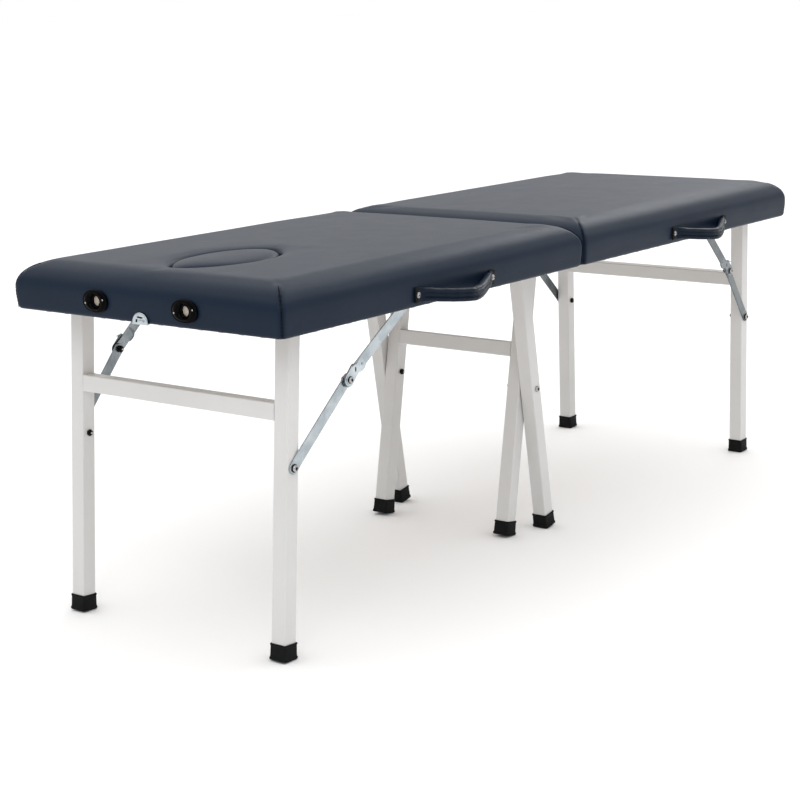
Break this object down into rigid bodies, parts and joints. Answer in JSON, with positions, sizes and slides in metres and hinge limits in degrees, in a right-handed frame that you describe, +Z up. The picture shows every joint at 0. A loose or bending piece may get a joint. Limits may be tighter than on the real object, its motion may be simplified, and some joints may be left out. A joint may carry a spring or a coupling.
{
  "type": "portable massage table",
  "caption": "Portable folding massage table: hinged padded panels with a face-hole plug, tubular leg frames, folding stays and carry handles.",
  "frame": {"origin": "on the floor, below the centre of the overall bounding box", "axes": "+X along the table from the head end to the foot end, +Y away from the side with the handles, +Z up"},
  "size_m": [1.8611, 0.6678, 0.65],
  "materials": {
    "leather": "dark blue-grey synthetic leather, satin",
    "wood": "plain sanded wood",
    "white": "white powder coat",
    "zinc": "zinc plated",
    "black": "gloss black",
    "rubber": "matt black"
  },
  "bodies": {
    "head_panel": {"head_cushion": "leather", "head_deck": "wood", "head_skirt": "leather", "head_rim": "wood", "headrest_socket_near": "black", "headrest_socket_far": "black", "head_handle": "leather", "head_catch_plate": "zinc", "hinge_head_leaf_near": "zinc", "hinge_head_leaf_far": "zinc", "hinge_pin_near": "zinc", "hinge_pin_far": "zinc"},
    "face_plug": {"face_plug": "leather"},
    "foot_panel": {"foot_cushion": "leather", "foot_deck": "wood", "foot_skirt": "leather", "foot_rim": "wood", "foot_handle": "leather", "foot_catch_plate": "zinc", "hinge_foot_leaf_near": "zinc", "hinge_foot_leaf_far": "zinc"},
    "head_frame": {"head_frame_leg_near": "white", "head_frame_leg_far": "white", "head_frame_cap_near": "rubber", "head_frame_cap_far": "rubber", "head_frame_crossbar": "white", "head_frame_axle": "zinc"},
    "foot_frame": {"foot_frame_leg_near": "white", "foot_frame_leg_far": "white", "foot_frame_cap_near": "rubber", "foot_frame_cap_far": "rubber", "foot_frame_crossbar": "white", "foot_frame_axle": "zinc"},
    "mid_outer": {"mid_outer_leg_near": "white", "mid_outer_leg_far": "white", "mid_outer_cap_near": "rubber", "mid_outer_cap_far": "rubber", "mid_outer_crossbar": "white", "mid_outer_axle": "zinc", "scissor_bolt_near": "zinc", "scissor_bolt_far": "zinc"},
    "mid_inner": {"mid_inner_leg_near": "white", "mid_inner_leg_far": "white", "mid_inner_cap_near": "rubber", "mid_inner_cap_far": "rubber", "mid_inner_crossbar": "white", "mid_inner_axle": "zinc", "scissor_nut_near": "zinc", "scissor_nut_far": "zinc"},
    "head_stay_lower_near": {"head_stay_lower_near": "zinc"},
    "head_stay_upper_near": {"head_stay_upper_near": "zinc"},
    "head_stay_lower_far": {"head_stay_lower_far": "zinc"},
    "head_stay_upper_far": {"head_stay_upper_far": "zinc"},
    "foot_stay_lower_near": {"foot_stay_lower_near": "zinc"},
    "foot_stay_upper_near": {"foot_stay_upper_near": "zinc"},
    "foot_stay_lower_far": {"foot_stay_lower_far": "zinc"},
    "foot_stay_upper_far": {"foot_stay_upper_far": "zinc"}
  },
  "joints": [
    {"name": "panel_fold", "type": "hinge", "parent": "head_panel", "child": "foot_panel", "pos_m": [-0.003, 0.023, 0.5612], "axis": [0, 1, 0], "range_deg": [0, 100]},
    {"name": "face_plug_lift", "type": "slide", "parent": "head_panel", "child": "face_plug", "axis": [0, 0, 1], "range_m": [0, 0.05]},
    {"name": "head_legs_fold", "type": "hinge", "parent": "head_panel", "child": "head_frame", "pos_m": [-0.8294, 0.023, 0.5865], "axis": [0, -1, 0], "range_deg": [0, 94]},
    {"name": "foot_legs_fold", "type": "hinge", "parent": "foot_panel", "child": "foot_frame", "pos_m": [0.8254, 0.023, 0.5865], "axis": [0, 1, 0], "range_deg": [0, 91.4]},
    {"name": "mid_outer_fold", "type": "hinge", "parent": "head_panel", "child": "mid_outer", "pos_m": [-0.0583, 0.023, 0.5865], "axis": [0, 1, 0], "range_deg": [0, 43.94]},
    {"name": "mid_inner_fold", "type": "hinge", "parent": "foot_panel", "child": "mid_inner", "pos_m": [0.0383, 0.023, 0.5865], "axis": [0, -1, 0], "range_deg": [0, 56.07]},
    {"name": "head_stay_lower_near_fold", "type": "hinge", "parent": "head_frame", "child": "head_stay_lower_near", "pos_m": [-0.84766, -0.234, 0.33215], "axis": [0, -1, 0], "range_deg": [0, 41.97]},
    {"name": "head_stay_upper_near_fold", "type": "hinge", "parent": "head_panel", "child": "head_stay_upper_near", "pos_m": [-0.5444, -0.265, 0.5865], "axis": [0, 1, 0], "range_deg": [0, 36.67]},
    {"name": "head_stay_lower_far_fold", "type": "hinge", "parent": "head_frame", "child": "head_stay_lower_far", "pos_m": [-0.84766, 0.28, 0.33215], "axis": [0, -1, 0], "range_deg": [0, 41.97]},
    {"name": "head_stay_upper_far_fold", "type": "hinge", "parent": "head_panel", "child": "head_stay_upper_far", "pos_m": [-0.5444, 0.311, 0.5865], "axis": [0, 1, 0], "range_deg": [0, 36.67]},
    {"name": "foot_stay_lower_near_fold", "type": "hinge", "parent": "foot_frame", "child": "foot_stay_lower_near", "pos_m": [0.83175, -0.234, 0.33158], "axis": [0, 1, 0], "range_deg": [0, 43.43]},
    {"name": "foot_stay_upper_near_fold", "type": "hinge", "parent": "foot_panel", "child": "foot_stay_upper_near", "pos_m": [0.5404, -0.265, 0.5865], "axis": [0, -1, 0], "range_deg": [0, 37.86]},
    {"name": "foot_stay_lower_far_fold", "type": "hinge", "parent": "foot_frame", "child": "foot_stay_lower_far", "pos_m": [0.83175, 0.28, 0.33158], "axis": [0, 1, 0], "range_deg": [0, 43.43]},
    {"name": "foot_stay_upper_far_fold", "type": "hinge", "parent": "foot_panel", "child": "foot_stay_upper_far", "pos_m": [0.5404, 0.311, 0.5865], "axis": [0, -1, 0], "range_deg": [0, 37.86]}
  ],
  "couplings": [
    {"joint": "mid_outer_fold", "follows": "panel_fold", "ratio": 0.4344},
    {"joint": "mid_inner_fold", "follows": "panel_fold", "ratio": 0.5557},
    {"joint": "head_stay_lower_near_fold", "follows": "head_legs_fold", "ratio": 0.4412},
    {"joint": "head_stay_upper_near_fold", "follows": "head_legs_fold", "ratio": 0.3848},
    {"joint": "head_stay_lower_far_fold", "follows": "head_legs_fold", "ratio": 0.4412},
    {"joint": "head_stay_upper_far_fold", "follows": "head_legs_fold", "ratio": 0.3848},
    {"joint": "foot_stay_lower_near_fold", "follows": "foot_legs_fold", "ratio": 0.4697},
    {"joint": "foot_stay_upper_near_fold", "follows": "foot_legs_fold", "ratio": 0.4088},
    {"joint": "foot_stay_lower_far_fold", "follows": "foot_legs_fold", "ratio": 0.4697},
    {"joint": "foot_stay_upper_far_fold", "follows": "foot_legs_fold", "ratio": 0.4088}
  ]
}
